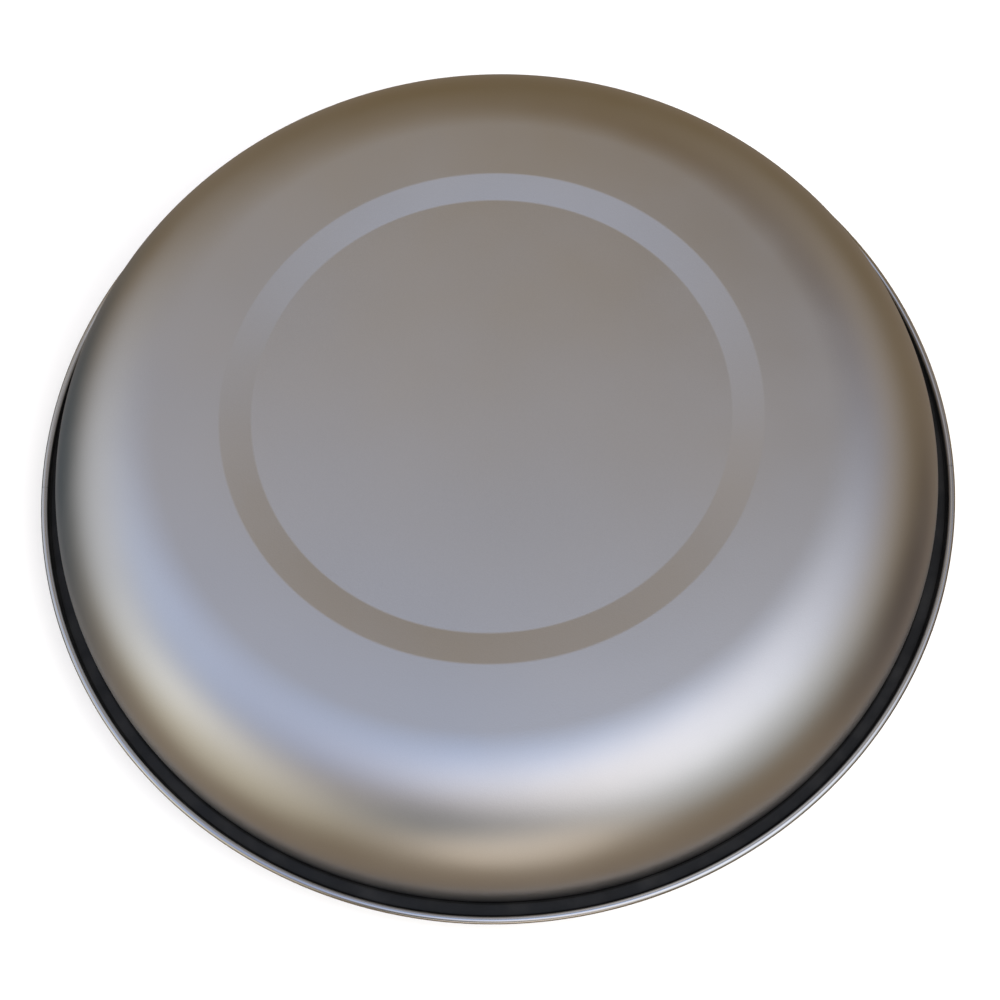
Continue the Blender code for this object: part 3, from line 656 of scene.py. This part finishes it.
# ---------------------------------------------------------------- rivets
def rivet(name, point, out, grip, body, node):
    """Domed rivet: z = 0 is the outer side of what it grips."""
    head, inner, dome = 0.0036, 0.0030, 0.0016
    outline = [(0.0, GAP + dome), (head * 0.35, GAP + dome * 0.95), (head * 0.65, GAP + dome * 0.78)]
    outline += [(head * 0.88, GAP + dome * 0.48), (head, GAP + 0.0003), (head * 0.97, GAP), (RIVET_R, GAP)]
    outline += [(RIVET_R, -grip - GAP), (inner, -grip - GAP), (inner, -grip - 0.0006)]
    outline += [(inner * 0.85, -grip - 0.0012), (inner * 0.45, -grip - 0.0012)]
    outline += [(inner * 0.35, -grip - 0.0009), (0.0, -grip - 0.0009)]
    made = lathe(name, outline, steps=40, matrix=pointing(point, out))
    done(made, body, "bright_fasteners", node, sharp=55)


def leaf_spots(side, radius):
    """Rivet spots (point, outward direction) of a hinge leaf, at a radius."""
    angle = math.pi - side * LEAF_RIVET_S / BAND_OUT
    out = Vector((math.cos(angle), math.sin(angle), 0.0))
    return [(at_angle(radius, angle, height), out) for height in LEAF_RIVET_HEIGHTS]


def tongue_spots(radius):
    """Rivet spots of the latch tongue."""
    middle, half_pitch, half_rise = math.radians(-9), 0.009, 0.011
    spots = []
    for s in (-half_pitch, half_pitch):
        angle = middle + s / BAND_OUT
        out = Vector((math.cos(angle), math.sin(angle), 0.0))
        for up in (-half_rise, half_rise):
            spots.append((at_angle(radius, angle, LOCK.z - BEAD_Z + up), out))
    return spots


# ---------------------------------------------------------------- hinge
def leaf_outline(side):
    """Plan of a leaf: plate rolled to the band, web out to the knuckle, and the knuckle."""
    near = 0.001
    inner, outer = BAND_OUT + GAP, BAND_OUT + GAP + LEAF_T
    far = math.degrees(LEAF_LENGTH / inner)
    web = KNUCKLE_R
    first = math.degrees(near / inner)
    start = math.degrees(math.asin((web + 0.002) / outer))
    plate_in = arc(0, 0, inner, first, far - 0.1, 24)
    plate_out = arc(0, 0, outer, far - 0.1, start, 22)
    rise = outer * math.cos(math.radians(start))
    fillet = arc(rise + 0.002, web + 0.002, 0.002, 180, 270, 5)[1:-1]
    end = math.degrees(math.asin(near / KNUCKLE_R))
    barrel = arc(-HINGE_X, 0.0, KNUCKLE_R, 90, -180 - end, 44)
    plan = plate_in + plate_out + fillet + barrel
    return [(-x, side * y) for x, y in plan]


def hinge_leaf(side, suffix, body):
    """A leaf with its knuckles between those of the other leaf."""
    pitch = (HINGE_HIGH - HINGE_LOW) / KNUCKLES
    middle = Vector((0.0, 0.0, BEAD_Z + (HINGE_HIGH + HINGE_LOW) / 2))
    hole = arc(HINGE_X, 0.0, PIN_R + GAP, 0, 350, 35)
    leaf = slab(f"hinge_leaf_{suffix}_rolled", [leaf_outline(side), hole], HINGE_HIGH - HINGE_LOW,
                Matrix.Translation(middle), 0.0004)
    tools = []
    reach = 0.012
    for k in range(1 if side > 0 else 0, KNUCKLES, 2):
        low = HINGE_LOW + k * pitch - GAP / 2 - (reach if k == 0 else 0.0)
        high = HINGE_LOW + (k + 1) * pitch + GAP / 2 + (reach if k == KNUCKLES - 1 else 0.0)
        tools.append(block("notch", (HINGE_X - reach, -reach, BEAD_Z + low),
                           (-BAND_OUT - GAP - LEAF_T - 0.0008, reach, BEAD_Z + high), 0.0))
    tools += rivet_holes(leaf_spots(side, BAND_OUT), 0.004, 0.01)
    combine(leaf, tools)
    done(leaf, body, "plated_steel", f"hinge_leaf_{suffix}", sharp=45)
    grip = LEAF_T + SHEET + GAP
    for number, (point, out) in enumerate(leaf_spots(side, BAND_OUT + GAP + LEAF_T), 1):
        rivet(f"leaf_rivet_{suffix}_{number}", point, out, grip, body, f"hinge_rivet_{suffix}_{number}")


def hinge_pin():
    """Pin with a domed head at each end."""
    head, dome = 0.003, 0.0016
    low, high = HINGE_LOW - GAP, HINGE_HIGH + GAP
    cap = [(0.0, dome), (head * 0.4, dome * 0.93), (head * 0.75, dome * 0.68), (head * 0.95, dome * 0.3)]
    cap.append((head, 0.0002))
    outline = [(r, high + h) for r, h in cap]
    outline += [(head * 0.97, high), (PIN_R, high), (PIN_R, low), (head * 0.97, low)]
    outline += [(r, low - h) for r, h in reversed(cap)]
    pin = lathe("hinge_pin_domed", outline, steps=40, matrix=Matrix.Translation((HINGE_X, 0.0, BEAD_Z)))
    done(pin, "cover", "bright_fasteners", "hinge_pin", sharp=55)


# ---------------------------------------------------------------- lock
def lock_housing():
    """Cast boss with a curved foot, recess, thumb nick, and holes for the barrel, pin and screws."""
    half_w, half_l, half_r = HOUSING_W / 2, HOUSING_L / 2, RECESS_W / 2
    inside_x, cut_x, nick_x = 0.360, 0.355, 0.3791
    corner_r = 0.0045
    housing = block("lock_boss", on_lock(inside_x, -half_w, -half_l), on_lock(HOUSING_X, half_w, half_l),
                    corner_r, 8)
    foot = peg("foot", GASKET_R + GAP, (0.0, 0.0, BEAD_Z - 0.11), (0, 0, 1), 0.12, FINE)
    recess = block("recess", on_lock(RECESS_X, -half_r, -half_r),
                   on_lock(RECESS_X + CUT, half_r, RECESS_TOP), 0.0008, 3)
    cone = filleted([(0, 0, 0), (0.0065, 0, 0.001), (0.0085, CUT, 0), (0, CUT, 0)], pieces=4)
    nick = lathe("nick", cone, steps=48, matrix=pointing(on_lock(nick_x, 0.0, -half_r), (1, 0, 0)))
    bore = peg("bore", BARREL_R + GAP, on_lock(cut_x), (1, 0, 0), 0.04, 64)
    pin = peg("pin", CAP_PIN_R + 0.0002, CAP_PIN - Vector((0, 0.0185, 0)), (0, 1, 0), 0.037, 24)
    combine(housing, [foot, recess, nick, bore, pin, *screw_holes(cut_x, 0.018)])
    done(housing, "cover", "cast_zinc", "lock_housing", sharp=35)


def lock_gasket():
    """Curved rubber sheet under the housing, a little wider than its foot."""
    sweep = HOUSING_W / GASKET_R
    mid, half_l = GASKET_R - SHEET / 2, HOUSING_L / 2
    axis_h = LOCK.z - BEAD_Z
    half_t, edge = 0.0005, 0.0002
    corners = [(mid - half_t, axis_h - half_l, edge), (mid + half_t, axis_h - half_l, edge),
               (mid + half_t, axis_h + half_l, edge), (mid - half_t, axis_h + half_l, edge)]
    outline = filleted(corners, pieces=3)
    gasket = lathe("lock_seat_gasket", outline, -sweep / 2, sweep, 24)
    start = GASKET_R - CUT / 2
    bore = peg("bore", PLUG_HOLE_R, on_lock(start), (1, 0, 0), CUT)
    combine(gasket, [bore, *screw_holes(start, CUT, HOLE_R + GAP)])
    done(gasket, "cover", "gasket_rubber", "lock_gasket")


def lock_screws():
    """Two pan-head screws from inside the band, with crossed slots."""
    head_x = BAND_IN - 2 * GAP
    head_r, tip = 0.0034, 0.0115
    for number, side in enumerate((1, -1), 1):
        origin = on_lock(head_x, 0.0, side * SCREW_OFFSET)
        head = [(head_r, 0.0, 0.0002), (head_r, -0.0009, 0.0004), (0.0026, -0.0016, 0.0006),
                (0.0, -0.0018, 0.0)]
        thread = [(0.0, tip), (RIVET_R * 0.6, tip), (RIVET_R, 0.0105), (RIVET_R, 0.0)]
        outline = thread + filleted([(RIVET_R, 0.0, 0.0), *head], closed=False, pieces=4)[1:]
        screw = lathe(f"boss_screw_{number}", outline, steps=40, matrix=pointing(origin, (1, 0, 0)))
        combine(screw, crossed_slots(origin, 0.0004, 0.0019))
        done(screw, "cover", "bright_fasteners", f"lock_screw_{number}", sharp=45)


def lock_barrel():
    """Fixed shell round the plug, with a rounded nose."""
    top, low = RECESS_X - GAP, GASKET_R + 0.0010
    corners = [(BARREL_BORE_R, low, 0.0002), (BARREL_R, low, 0.0003), (BARREL_R, top, 0.0008),
               (BARREL_BORE_R, top, 0.0003)]
    barrel = lathe("lock_shell", filleted(corners, pieces=5), steps=96, matrix=pointing(LOCK, (1, 0, 0)))
    done(barrel, "cover", "cast_zinc", "lock_barrel")


def lock_plug():
    """Turning plug with a dished key slot and a square stem for the cam."""
    face, shoulder = RECESS_X - 0.0005, CAM_X + CAM_T + 0.0005
    half = STEM / 2
    corners = [(0.0, shoulder, 0.0), (PLUG_R, shoulder, 0.0003), (PLUG_R, face, 0.0007),
               (0.0028, face, 0.0004), (0.0022, face - 0.0003, 0.0004), (0.0, face - 0.0003, 0.0)]
    outline = filleted(corners, pieces=4)
    plug = lathe("key_plug", outline, steps=72, matrix=pointing(LOCK, (1, 0, 0)))
    stem = block("stem", on_lock(CAM_X, -half, -half), on_lock(shoulder + 0.002, half, half), 0.0003, 2)
    combine(plug, [stem], "UNION")
    slot_w, slot_l = 0.0011, 0.004
    slot = block("key_slot", on_lock(face - 0.007, -slot_w, -slot_l), on_lock(face + 0.002, slot_w, slot_l),
                 0.0003, 3)
    bore = peg("bore", HOLE_R, on_lock(CAM_X - 0.002), (1, 0, 0), 0.010, 24)
    combine(plug, [slot, bore])
    done(plug, "lock_plug", "lock_brass", "lock_plug", sharp=35)


def lock_cam():
    """Cam plate: round hub with one arm towards -Y while the lock is open."""
    hub_r, half = 0.0062, CAM_W / 2
    turn = math.degrees(math.atan2(half, -math.sqrt(hub_r ** 2 - half ** 2)))
    hub = arc(0.0, 0.0, hub_r, -turn, turn, 40)
    tip_r = 0.002
    arm = filleted([(-hub_r, half, 0.0), (-CAM_LENGTH, half, tip_r), (-CAM_LENGTH, -half, tip_r),
                    (-hub_r, -half, 0.0)], closed=False)[1:-1]
    square = STEM / 2 + GAP
    hole = [(-square, -square), (square, -square), (square, square), (-square, square)]
    axes = Matrix((Vector((0, 1, 0)), Vector((0, 0, 1)), Vector((1, 0, 0)))).transposed().to_4x4()
    place = Matrix.Translation(on_lock(CAM_X + CAM_T / 2)) @ axes
    cam = slab("cam_plate", [hub + arm, hole], CAM_T, place, 0.0002)
    done(cam, "lock_plug", "plated_steel", "lock_cam", sharp=45)


def cam_screw():
    """Screw that holds the cam, with a crossed slot."""
    head_r = 0.0052
    head = filleted([(RIVET_R, 0.0, 0.0), (head_r, 0.0, 0.0001), (head_r, -0.0008, 0.0003),
                     (0.0042, -0.0015, 0.0006), (0.0, -0.0016, 0.0)], closed=False, pieces=4)
    origin = on_lock(CAM_X - GAP)
    tip = 0.0065
    outline = [(0.0, tip), (RIVET_R * 0.7, tip), (RIVET_R, 0.0058)] + head
    screw = lathe("cam_fixing_screw", outline, steps=48, matrix=pointing(origin, (1, 0, 0)))
    combine(screw, crossed_slots(origin, 0.0005, 0.0026))
    done(screw, "lock_plug", "bright_fasteners", "cam_screw", sharp=45)


def dust_cap():
    """Flap with grip ribs, turning on a pin at its upper edge."""
    px, pz = CAP_PIN.x, CAP_PIN.z - LOCK.z
    outer = px + CAP_BARREL_R
    inner = outer - CAP_T
    barrel = arc(px, pz, CAP_BARREL_R, 0, 200, 24)
    outline = [(inner, CAP_LOW), (outer, CAP_LOW)] + barrel + [(inner, pz - 0.0026)]
    hole = arc(px, pz, CAP_PIN_R + 0.0002, 0, 345, 23)
    axes = Matrix((Vector((1, 0, 0)), Vector((0, 0, 1)), Vector((0, -1, 0)))).transposed().to_4x4()
    cap = slab("dust_flap", [outline, hole], CAP_W, Matrix.Translation(LOCK) @ axes, 0.0004)
    deep, half, pitch = 0.0004, 0.009, 0.0016
    grooves = [block("groove", on_lock(outer - deep, -half, CAP_LOW + 0.002 + pitch * k),
                     on_lock(outer + 0.002, half, CAP_LOW + 0.0027 + pitch * k), 0.0) for k in range(4)]
    combine(cap, grooves)
    done(cap, "dust_cap", "black_plastic", "lock_dust_cap", sharp=35)
    length, edge = 0.036, 0.0002
    rod = filleted([(0, 0, 0), (CAP_PIN_R, 0, edge), (CAP_PIN_R, length, edge), (0, length, 0)])
    pin = lathe("flap_pin", rod, steps=24, matrix=pointing(CAP_PIN - Vector((0, length / 2, 0)), (0, 1, 0)))
    done(pin, "cover", "bright_fasteners", "dust_cap_pin")


def latch_tongue():
    """Forked plate behind the joint, with the lip that the cam catches."""
    axis_h, half = LOCK.z - BEAD_Z, TONGUE_W / 2
    start, end = math.radians(-12.6), math.asin(TONGUE_TIP / TONGUE_R)
    edge = 0.0003
    corners = [(TONGUE_R - TONGUE_T, axis_h - half, edge), (TONGUE_R, axis_h - half, edge),
               (TONGUE_R, axis_h + half, edge), (TONGUE_R - TONGUE_T, axis_h + half, edge)]
    tongue = lathe("latch_fork", filleted(corners, pieces=3), start, end - start, 48)
    slot_half = TONGUE_SLOT_W / 2
    lip_x, lip_y = (0.3546, 0.3592), (0.0053, 0.0068)
    lip = block("lip", on_lock(lip_x[0], lip_y[0], slot_half), on_lock(lip_x[1], lip_y[1], half - GAP),
                edge, 2)
    combine(tongue, [lip], "UNION")
    inside_x, outside_x, beyond = 0.350, 0.368, 0.03
    slot = block("slot", on_lock(inside_x, TONGUE_SLOT_END, -slot_half),
                 on_lock(outside_x, beyond, slot_half), 0.0)
    combine(tongue, [slot, *rivet_holes(tongue_spots(BAND_OUT), 0.01, 0.014)])
    done(tongue, "ring_swing", "plated_steel", "latch_tongue", sharp=35)
    grip = 0.0034                   # band, clearance and tongue
    for number, (point, out) in enumerate(tongue_spots(BAND_OUT), 1):
        rivet(f"fork_rivet_{number}", point, out, grip, "ring_swing", f"tongue_rivet_{number}")


# ---------------------------------------------------------------- pads and bumpers
def tread_pads():
    """Rubber pads inside the band, with ribs along the tread."""
    ribs, depth = 6, 0.0014
    pitch = (PAD_HIGH - PAD_LOW) / ribs
    corners = [(PAD_R, PAD_LOW, 0.0008), (PAD_R, PAD_HIGH, 0.0008), (TYRE_R, PAD_HIGH, 0.0010)]
    for k in range(1, ribs):
        middle = PAD_HIGH - k * pitch
        corners += [(TYRE_R, middle + 0.0016, 0.0004), (TYRE_R + depth, middle + 0.0008, 0.0004),
                    (TYRE_R + depth, middle - 0.0008, 0.0004), (TYRE_R, middle - 0.0016, 0.0004)]
    corners.append((TYRE_R, PAD_LOW, 0.0010))
    outline = filleted(corners, pieces=3)
    pitch_angle, pad_angle = 24, math.radians(12)
    for suffix, first, body in (("fixed", 18, "cover"), ("swing", 192, "ring_swing")):
        for k in range(6):
            start = math.radians(first + pitch_angle * k)
            pad = lathe(f"ribbed_pad_{suffix}_{k + 1}", outline, start, pad_angle, 16)
            done(pad, body, "pad_rubber", f"tread_pad_{suffix}_{k + 1}", sharp=50)


def sidewall_bumpers():
    """Tapered feet with two grooves round the side and a ringed face."""
    top = FACE_H - SHEET - GAP
    low = top - BUMPER_DEPTH
    foot = BUMPER_R * 0.72
    groove, ring = 0.0005, 0.0003   # fillet radii
    corners = [
        (0.0, top, 0.0), (BUMPER_R, top, 0.0006), (BUMPER_R, top - 0.004, 0.0012),
        (0.0148, top - 0.0075, groove), (0.0140, top - 0.0085, groove), (0.0144, top - 0.0095, groove),
        (0.0136, top - 0.0145, groove), (0.0128, top - 0.0155, groove), (0.0132, top - 0.0165, groove),
        (BUMPER_R * 0.8, low + 0.002, 0.0012), (foot, low, 0.0008),
        (0.0088, low, ring), (0.0082, low + 0.0008, ring), (0.0066, low + 0.0008, ring),
        (0.0060, low, ring), (0.0030, low, 0.0006), (0.0, low + 0.0012, 0.0),
    ]
    outline = filleted(corners, pieces=4)
    for k in range(6):
        low_corner, high_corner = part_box(f"sidewall_bumper_{k + 1}")
        middle = (low_corner + high_corner) / 2
        bumper = lathe(f"ringed_bumper_{k + 1}", outline, steps=48,
                       matrix=Matrix.Translation((middle.x, middle.y, BEAD_Z)))
        done(bumper, "cover", "pad_rubber", f"sidewall_bumper_{k + 1}", sharp=50)


def build():
    """Make every piece."""
    front_dish()
    dish_edge_seal()
    ring_halves()
    bead_wires()
    rear_trims()
    hinge_leaf(1, "fixed", "cover")
    hinge_leaf(-1, "swing", "ring_swing")
    hinge_pin()
    lock_housing()
    lock_gasket()
    lock_screws()
    lock_barrel()
    lock_plug()
    lock_cam()
    cam_screw()
    dust_cap()
    latch_tongue()
    tread_pads()
    sidewall_bumpers()


# ---------------------------------------------------------------- floor, light and camera
def studio_floor():
    """Plain pale floor, which polished metal doesn't mirror."""
    mesh = bpy.data.meshes.new("floor")
    side = 12.0
    corners = [(-side, -side, 0), (side, -side, 0), (side, side, 0), (-side, side, 0)]
    mesh.from_pydata(corners, [], [(0, 1, 2, 3)])
    floor = new_object("floor", mesh)
    floor.visible_glossy = False
    s = Shader("floor", (0.88, 0.86, 0.82), 0.9, 0.0, Specular_IOR_Level=0.0)
    mesh.materials.append(s.mat)


def direction(azimuth, elevation):
    """Unit vector; azimuth 0 is +X and 90 is +Y, in degrees."""
    a, e = math.radians(azimuth), math.radians(elevation)
    return Vector((math.cos(a) * math.cos(e), math.sin(a) * math.cos(e), math.sin(e)))


# Soft panels of the studio, and dark flags with negative strengths. The strengths here and in GRADIENT
# came from a least-squares fit to the shading in the photograph, and are rounded to 0.02.
# Each row: azimuth, elevation and half width in degrees, and red, green and blue strength
PANELS = (
    (-50, 62, 42, (1.08, 1.14, 1.30)),
    (-45, 25, 38, (0.32, 0.42, 0.52)),
    (-92, 2, 26, (0.92, 0.84, 0.76)),
    (-150, 8, 36, (0.60, 0.60, 0.52)),
    (175, 28, 46, (0.40, 0.50, 0.64)),
    (125, 62, 36, (0.28, 0.30, 0.32)),
    (5, 60, 38, (-0.06, 0.06, 0.28)),
    (-170, 70, 40, (-0.12, 0.06, 0.48)),
    (-5, -22, 28, (-0.16, -0.12, -0.06)),
    (155, -28, 34, (-0.22, -0.14, -0.06)),
    (90, 45, 50, (-0.20, -0.20, -0.22)),
    (-105, 26, 24, (-0.30, -0.20, -0.10)),
)
# Gradient behind the panels: elevation in degrees and colour
GRADIENT = (
    (-90, (0.20, 0.18, 0.18)), (-35, (0.26, 0.20, 0.14)), (0, (0.20, 0.14, 0.06)), (25, (0.44, 0.38, 0.32)),
    (50, (0.32, 0.24, 0.16)), (66, (0.54, 0.42, 0.24)), (90, (0.04, 0.04, 0.04)),
)


def studio_world():
    """A gradient from a brown lower half to a dark zenith, with soft panels added."""
    world = bpy.data.worlds.new("studio")
    bpy.context.scene.world = world
    world.use_nodes = True
    tree = world.node_tree
    tree.nodes.clear()

    def node(kind, inputs=None, **settings):
        return add_node(tree, kind, inputs, **settings)

    ray = node("TexCoord").outputs["Generated"]
    height = node("SeparateXYZ", {0: ray}).outputs["Z"]
    slope = node("Math", {0: height}, operation="ARCSINE").outputs[0]
    inputs = {"Value": slope, "From Min": -math.pi / 2, "From Max": math.pi / 2}
    level = node("MapRange", inputs).outputs["Result"]
    ramp = node("ValToRGB", {"Fac": level})
    stops = ramp.color_ramp.elements
    for elevation, colour in GRADIENT[1:-1]:
        stops.new((elevation + 90) / 180).color = (*colour, 1.0)
    stops[0].color = (*GRADIENT[0][1], 1.0)
    stops[-1].color = (*GRADIENT[-1][1], 1.0)
    total = ramp.outputs["Color"]
    for azimuth, elevation, width, strength in PANELS:
        inputs = {0: ray, 1: direction(azimuth, elevation)}
        facing = node("VectorMath", inputs, operation="DOT_PRODUCT").outputs["Value"]
        inputs = {"Value": facing, "From Min": math.cos(math.radians(width)), "From Max": 1.0}
        amount = node("MapRange", inputs, interpolation_type="SMOOTHSTEP").outputs["Result"]
        glow = node("VectorMath", {0: strength, "Scale": amount}, operation="SCALE").outputs[0]
        total = node("VectorMath", {0: total, 1: glow}, operation="ADD").outputs[0]
    total = node("VectorMath", {0: total, 1: (0.0, 0.0, 0.0)}, operation="MAXIMUM").outputs[0]
    paths = node("LightPath").outputs
    lit = node("Background", {"Color": total}).outputs[0]
    plain = node("Background", {"Color": (0.93, 0.93, 0.93, 1.0)}).outputs[0]
    seen = node("MixShader", {0: paths["Is Camera Ray"], 1: lit, 2: plain}).outputs[0]
    node("OutputWorld", {"Surface": seen})


def soft_lights():
    """Large overhead softbox that lights the floor and the rubber but isn't mirrored in the metal."""
    lamp = bpy.data.lights.new("softbox", "AREA")
    lamp.shape = "DISK"
    lamp.size = 3.0
    lamp.energy = 95.0
    lamp.color = (1.0, 0.99, 0.97)
    obj = new_object("softbox", lamp)
    obj.location = (0.5, -0.9, 2.6)
    obj.rotation_euler = (-Vector(obj.location)).to_track_quat("-Z", "Y").to_euler()
    obj.visible_glossy = False


def camera():
    """Camera above and in front of the dish, placed by a fit to the outlines of the rim and the step ring."""
    data = bpy.data.cameras.new("camera")
    data.lens = 54.0
    data.sensor_width = 36.0
    data.clip_start, data.clip_end = 0.01, 50.0
    obj = new_object("camera", data)
    place = Vector((0.0018, -0.5162, 1.1269 + BEAD_Z))
    tilt, roll = math.radians(22.93), math.radians(-4.10)
    turned = Matrix.Rotation(tilt, 4, "X") @ Matrix.Rotation(roll, 4, "Z")
    obj.matrix_world = Matrix.Translation(place) @ turned
    bpy.context.scene.camera = obj


build()
studio_floor()
studio_world()
soft_lights()
camera()
bpy.context.scene.view_settings.view_transform = "Standard"
